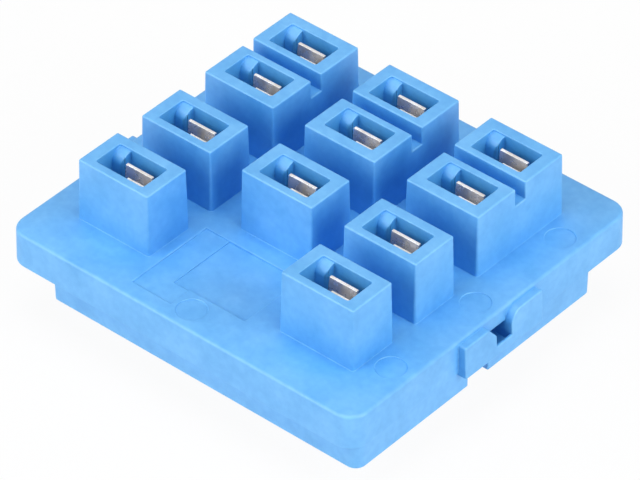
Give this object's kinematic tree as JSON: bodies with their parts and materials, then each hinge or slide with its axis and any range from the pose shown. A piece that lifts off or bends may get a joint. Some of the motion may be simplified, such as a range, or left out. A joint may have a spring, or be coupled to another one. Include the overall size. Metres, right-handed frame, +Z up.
{
  "type": "relay socket",
  "caption": "Flat blue relay socket for a printed circuit board, with hollow rectangular towers that each hold a tinned spring contact with a solder pin.",
  "frame": {"origin": "middle of the face that seats on the board, under the middle of the flange", "axes": "+Z points up to the relay, +X runs from row A to row C, +Y runs from the coil contacts to the common contacts"},
  "size_m": [0.0404, 0.0366, 0.016],
  "materials": {
    "moulding": "satin light blue thermoplastic, faintly mottled",
    "tinned_strip": "tinned copper alloy, satin"
  },
  "bodies": {
    "root": {"housing": "moulding", "contact_coil_a": "tinned_strip", "contact_coil_c": "tinned_strip", "contact_nc_a": "tinned_strip", "contact_nc_b": "tinned_strip", "contact_nc_c": "tinned_strip", "contact_no_a": "tinned_strip", "contact_no_b": "tinned_strip", "contact_no_c": "tinned_strip", "contact_com_a": "tinned_strip", "contact_com_b": "tinned_strip", "contact_com_c": "tinned_strip"}
  },
  "joints": []
}
